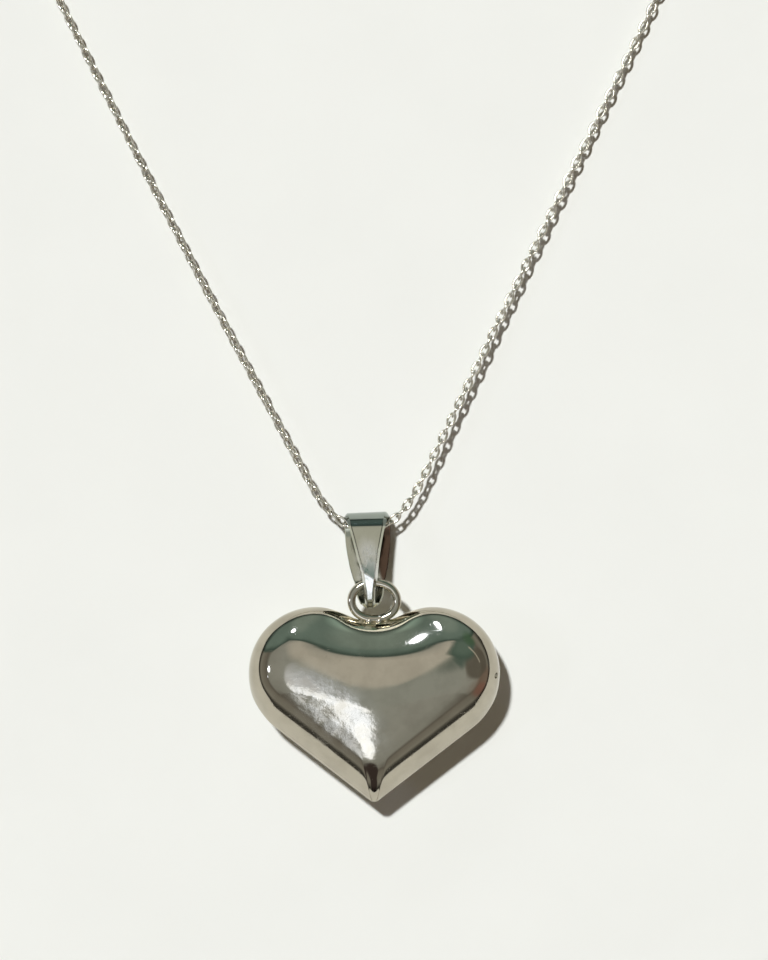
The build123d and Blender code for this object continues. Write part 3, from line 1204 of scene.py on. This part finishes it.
@dataclass
class RingClasp:
    """The plain ring clasp at the back of the loop, with an eye on each side."""

    ring: float = 5.6 * MM
    wire: float = 1.1 * MM
    eye: float = 2.0 * MM
    eye_wire: float = 0.4 * MM
    eye_overlap: float = 0.35 * MM
    collar: float = 0.42 * MM
    collar_length: float = 0.3 * MM
    collar_sink: float = 0.02 * MM
    collar_sides: int = 32
    ring_sides: tuple[int, int] = (96, 24)
    eye_sides: tuple[int, int] = (48, 16)
    grain: float = 0.06 * MM
    melting: int = 4

    def build(self) -> Piece:
        """Joins the ring, its eyes and their collars into one soldered piece.

        Returns:
            The clasp.
        """
        low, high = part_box("clasp")
        middle = (low + high) / 2
        select_only()
        parts = [add_torus(middle, self.ring, self.wire, self.ring_sides)]
        for side in (-1, 1):
            eye_x = self.ring / 2 - self.eye_overlap + self.eye / 2
            eye_at = middle + Vector((side * eye_x, 0, 0))
            parts.append(add_torus(eye_at, self.eye, self.eye_wire, self.eye_sides))
            bpy.ops.mesh.primitive_cylinder_add(
                location=middle + Vector((side * (self.ring / 2 - self.collar_sink), 0, 0)),
                rotation=(0, math.radians(90), 0),
                vertices=self.collar_sides,
                radius=self.collar,
                depth=self.collar_length,
            )
            parts.append(bpy.context.object)
        clasp = join_as("clasp_ring", parts)
        settle(clasp)
        weld(clasp, self.grain, self.melting)
        close_and_face_out(clasp)
        smooth_shade(clasp, ALL_SMOOTH)
        return clasp


@dataclass(frozen=True)
class SkyPatch:
    """A soft round patch of the surroundings, as the silver reflects it.

    Args:
        azimuth: from X towards Y, in degrees.
        elevation: above the horizon, in degrees.
        inner: angle from its middle that is fully this colour, in degrees.
        outer: angle past which it doesn't show, in degrees.
        colour: its sRGB hex colour.
        strength: its brightness.
        cover: share of what is behind it that it hides.
    """

    azimuth: float
    elevation: float
    inner: float
    outer: float
    colour: str
    strength: float = 1.0
    cover: float = 1.0

    def direction(self) -> Triple:
        """Unit vector towards its middle."""
        azimuth, elevation = math.radians(self.azimuth), math.radians(self.elevation)
        level = math.cos(elevation)
        return (level * math.cos(azimuth), level * math.sin(azimuth), math.sin(elevation))

    def lay_over(self, tree: Tree, towards: Socket, room: Socket) -> Socket:
        """Lays the patch over what is behind it.

        Args:
            tree: the world's node tree.
            towards: direction of the ray.
            room: colour of the surroundings without it.

        Returns:
            Their colour with it.
        """
        dot = {"operation": "DOT_PRODUCT", 1: self.direction()}
        facing = add_node(tree, "VectorMath", dot, {0: towards}).outputs["Value"]
        fade = {"interpolation_type": "SMOOTHSTEP", "To Max": self.cover}
        fade["From Min"] = math.cos(math.radians(self.outer))
        fade["From Max"] = math.cos(math.radians(self.inner))
        share = add_node(tree, "MapRange", fade, {"Value": facing}).outputs[0]
        glow = (*(channel * self.strength for channel in linear(self.colour)[:3]), 1.0)
        return add_node(tree, "Mix", {"data_type": "RGBA", 7: glow}, {0: share, 6: room}).outputs[2]


@dataclass
class Studio:
    """The pale board, the key lamp, the surroundings and the camera."""

    floor_side: float = 1.6
    camera_at: Triple = (3.5 * MM, -72.7 * MM, 260 * MM)
    lens: float = 96.0
    sensor: float = 36.0
    nearest: float = 1 * MM
    key_towards: Triple = (-0.28, 0.47, 1.0)
    key_angle: float = 4.0
    key_strength: float = 3.2
    key_colour: str = "#FAFDFF"
    glint_angle: float = 14.0
    glint_strength: float = 2.0
    # what matt surfaces get from the room: the key lamp gives them the rest
    fill: str = "#5D5448"
    backdrop: str = "#EFEFEA"
    # dark line where the surroundings meet the board, by the sine of the elevation
    rim_line: tuple[float, float] = (0.05, 0.16)
    rim_dark: float = 0.22
    # colour of the surroundings by the sine of the elevation
    horizon: tuple[tuple[float, str], ...] = (
        (0.00, "#8E8D86"),
        (0.20, "#97968F"),
        (0.36, "#8A8780"),
        (0.45, "#77746E"),
        (0.56, "#A3A6A2"),
        (0.80, "#AEB1AE"),
        (1.00, "#AEB4B1"),
    )
    patches: tuple[SkyPatch, ...] = (
        # light beige above the green
        SkyPatch(90, 62, 10, 26, "#EEE9E0", cover=0.6),
        # brown at the right, with a red tint
        SkyPatch(-22, 16, 14, 30, "#8A7468", cover=0.7),
        SkyPatch(12, 38, 20, 26, "#706C64", cover=0.9),
        SkyPatch(-33, 14, 3, 15, "#9A6459", cover=0.5),
        # green-grey behind the lobes, edged darker, higher on the right
        SkyPatch(90, 2, 38.5, 41, "#52645F"),
        SkyPatch(125, 8, 30, 34, "#52645F"),
        SkyPatch(33, 67, 2, 13, "#5C716A", cover=0.9),
        SkyPatch(52, 50, 11, 21, "#5C716A"),
        SkyPatch(57, 36, 12, 19, "#5C716A"),
        SkyPatch(90, 2, 32, 38.5, "#7E948F"),
        SkyPatch(125, 8, 22, 30, "#7E948F"),
        SkyPatch(54, 46, 4, 18, "#748A82", cover=0.8),
        SkyPatch(90, 14, 4, 20, "#A3B5AF", cover=0.6),
        SkyPatch(54, 24, 4, 15, "#56785A", cover=0.6),
        # dark, below the tip
        SkyPatch(-94, 24, 11, 14, "#463D3B"),
        SkyPatch(-91, 8, 11, 14, "#463D3B"),
        # bright, from the lower left to the tip
        SkyPatch(-175, 74, 3, 12, "#EAF0FA", 0.9, cover=0.6),
        SkyPatch(-150, 70, 5, 13, "#EAF0FA", 1.1, cover=0.8),
        SkyPatch(-128, 64, 6, 13, "#EAF0FA", 2.2, cover=0.9),
        SkyPatch(-110, 59, 6, 12, "#EAF0FA", 2.2),
        SkyPatch(-102, 51, 7, 10, "#EAF0FA", 2.4),
        SkyPatch(-118, 38, 4, 8, "#EAF0FA", 1.5, cover=0.8),
        # small lamps
        SkyPatch(101.5, 24.5, 2.0, 3.0, "#E0E9FF", 14.0),
        SkyPatch(-179, 38.5, 3.0, 4.4, "#E0E9FF", 12.0),
        SkyPatch(-166, 30, 1.0, 2.0, "#E0E9FF", 3.0),
        # pale streak at the right
        *(
            SkyPatch(44 - 5 * i, height, 1.5, 3.5, "#E0DCD0", 0.9, cover=0.7)
            for i, height in enumerate((41, 41, 40, 39, 38, 36.5, 35))
        ),
    )

    def lay_board(self) -> None:
        """Lays the board under the pendant."""
        select_only()
        bpy.ops.mesh.primitive_plane_add(size=self.floor_side)
        board = named("pale_board")
        board.data.materials.append(MattBoard().material())

    def hang_lamp(self, name: str, strength: float, angle: float) -> Piece:
        """Hangs a lamp in the key light's direction.

        Args:
            name: the lamp's name.
            strength: its brightness.
            angle: how wide it looks, in degrees.

        Returns:
            The lamp.
        """
        lamp = bpy.data.lights.new(name, "SUN")
        lamp.energy = strength
        lamp.angle = math.radians(angle)
        lamp.color = linear(self.key_colour)[:3]
        holder = bpy.data.objects.new(name, lamp)
        holder.rotation_euler = Vector(self.key_towards).to_track_quat("Z", "Y").to_euler()
        bpy.context.collection.objects.link(holder)
        return holder

    def hang_lamps(self, wire_pieces: list[Piece]) -> None:
        """Hangs the key lamp, which casts the shadow, and the one that glints on thin wire.

        Args:
            wire_pieces: the pieces that the second lamp lights.
        """
        key = self.hang_lamp("key_lamp", self.key_strength, self.key_angle)
        key.visible_glossy = False
        glint = self.hang_lamp("glint_lamp", self.glint_strength, self.glint_angle)
        lit = bpy.data.collections.new("thin_wire")
        for piece in wire_pieces:
            lit.objects.link(piece)
        glint.light_linking.receiver_collection = lit

    def surround(self) -> None:
        """Builds the room that the silver reflects, by direction alone."""
        world = bpy.data.worlds.new("studio_room")
        world.use_nodes = True
        bpy.context.scene.world = world
        tree = world.node_tree
        tree.nodes.clear()
        towards = add_node(tree, "TexCoord", {}, {}).outputs["Generated"]
        height = add_node(tree, "SeparateXYZ", {}, {0: towards}).outputs[2]
        bands = add_node(tree, "ValToRGB", {}, {0: height})
        stops = bands.color_ramp.elements
        while len(stops) < len(self.horizon):
            stops.new(0.5)
        for stop, (position, colour) in zip(stops, self.horizon):
            stop.position = position
            stop.color = linear(colour)
        room = bands.outputs[0]
        for patch in self.patches:
            room = patch.lay_over(tree, towards, room)
        rim = {"From Min": self.rim_line[0], "From Max": self.rim_line[1], "To Min": self.rim_dark}
        low = add_node(tree, "MapRange", rim, {"Value": height})
        dimmed = {0: room, "Scale": low.outputs[0]}
        room = add_node(tree, "VectorMath", {"operation": "SCALE"}, dimmed).outputs[0]
        ray = add_node(tree, "LightPath", {}, {})
        for kind, colour in (("Is Diffuse Ray", self.fill), ("Is Camera Ray", self.backdrop)):
            seen = {0: ray.outputs[kind], 6: room}
            room = add_node(tree, "Mix", {"data_type": "RGBA", 7: linear(colour)}, seen).outputs[2]
        light = add_node(tree, "Background", {}, {"Color": room})
        add_node(tree, "OutputWorld", {}, {"Surface": light.outputs[0]})

    def set_camera(self) -> None:
        """Sets the camera straight above the heart."""
        camera = bpy.data.cameras.new("camera")
        camera.lens = self.lens
        camera.sensor_width = self.sensor
        camera.clip_start = self.nearest
        holder = bpy.data.objects.new("camera", camera)
        holder.location = self.camera_at
        bpy.context.collection.objects.link(holder)
        bpy.context.scene.camera = holder

    def build(self, wire_pieces: list[Piece]) -> None:
        """Sets up all of it.

        Args:
            wire_pieces: the pieces of thin wire.
        """
        self.lay_board()
        self.hang_lamps(wire_pieces)
        self.surround()
        self.set_camera()
        bpy.context.scene.view_settings.view_transform = "Standard"


def main() -> None:
    """Builds the pieces in order, then the studio."""
    logging.basicConfig(level=logging.INFO, format="%(name)s: %(message)s")
    # sterling sheet, stamped and mirror polished, then worn: the surroundings show in it blurred; where
    # worn it is painted paler, partly a painted sheen
    worn = WornPatch((-1.1 * MM, -95.5 * MM, 8 * MM), (7.6 * MM, 4.0 * MM, TALL), -42.0)
    # painted reflection: pale golden colour laid into the notch's silver
    notch = PaintedLightPatch((2.53 * MM, -86.4 * MM, 4.5 * MM), (5.2 * MM, 1.7 * MM, TALL), "#F4ECD6")
    heart_silver = PolishedSilver("polished sterling silver, worn heart", worn=worn, painted_light_areas=(notch,))
    # drawn wire, soldered and polished: brownish where the polishing doesn't reach
    ring_silver = PolishedSilver("polished sterling silver ring", tarnish_share=0.5, scratch_share=0.2)
    # folded strip, polished along its length: greyer, with a rubbed front painted paler, partly a painted
    # highlight; painted reflection bands along the fold and painted shade on the back leg
    rubbed_and_sheen = WornPatch((2.0 * MM, -81.8 * MM, 5.3 * MM), (4.2 * MM, 1.8 * MM, TALL), -87.0)
    # painted reflection: pale grey-green band along the fold
    fold = PaintedLightPatch((1.8 * MM, -75.6 * MM, 2.0 * MM), (9.0 * MM, 1.25 * MM, TALL), "#98A099")
    # painted reflection: dark band just below the fold
    under = PaintedLightPatch((1.8 * MM, -76.93 * MM, 5 * MM), (6.0 * MM, 0.42 * MM, TALL), "#6E756F")
    # painted shade: dark brown on the back leg, low down
    back = PaintedLightPatch((4.1 * MM, -80.3 * MM, 0.4 * MM), (1.5 * MM, 4.2 * MM, 3.0 * MM), "#5E4C40")
    bail_silver = PolishedSilver(
        "polished sterling silver strip",
        colour="#B7B8A8",
        lay=Lay.ALONG,
        tarnish_share=0.15,
        roughness=0.1,
        scratch_share=0.6,
        waviness=0.002 * MM,
        worn=rubbed_and_sheen,
        rubbed_and_sheen_share=0.8,
        painted_light_areas=(fold, under, back),
    )
    # drawn wire, tumbled bright: many small soft glints
    chain_silver = PolishedSilver(
        "polished sterling silver wire", colour="#D8D2C4", roughness=0.12, scratch_share=0.0
    )
    # cast and polished: a plain mirror
    clasp_silver = PolishedSilver("polished sterling silver clasp", roughness=0.08)

    shell = HeartShell()
    hand_in(shell.build(), heart_silver.material(), "heart")
    ring = NotchRing().build(shell.centre())
    hand_in(ring, ring_silver.material(), "heart")
    hand_in(BailStrip().build(), bail_silver.material(), "bail")
    chain = CableChain().build()
    hand_in(chain, chain_silver.material(), "chain")
    hand_in(RingClasp().build(), clasp_silver.material(), "clasp")
    Studio().build([ring, chain])


if __name__ == "__main__":
    main()
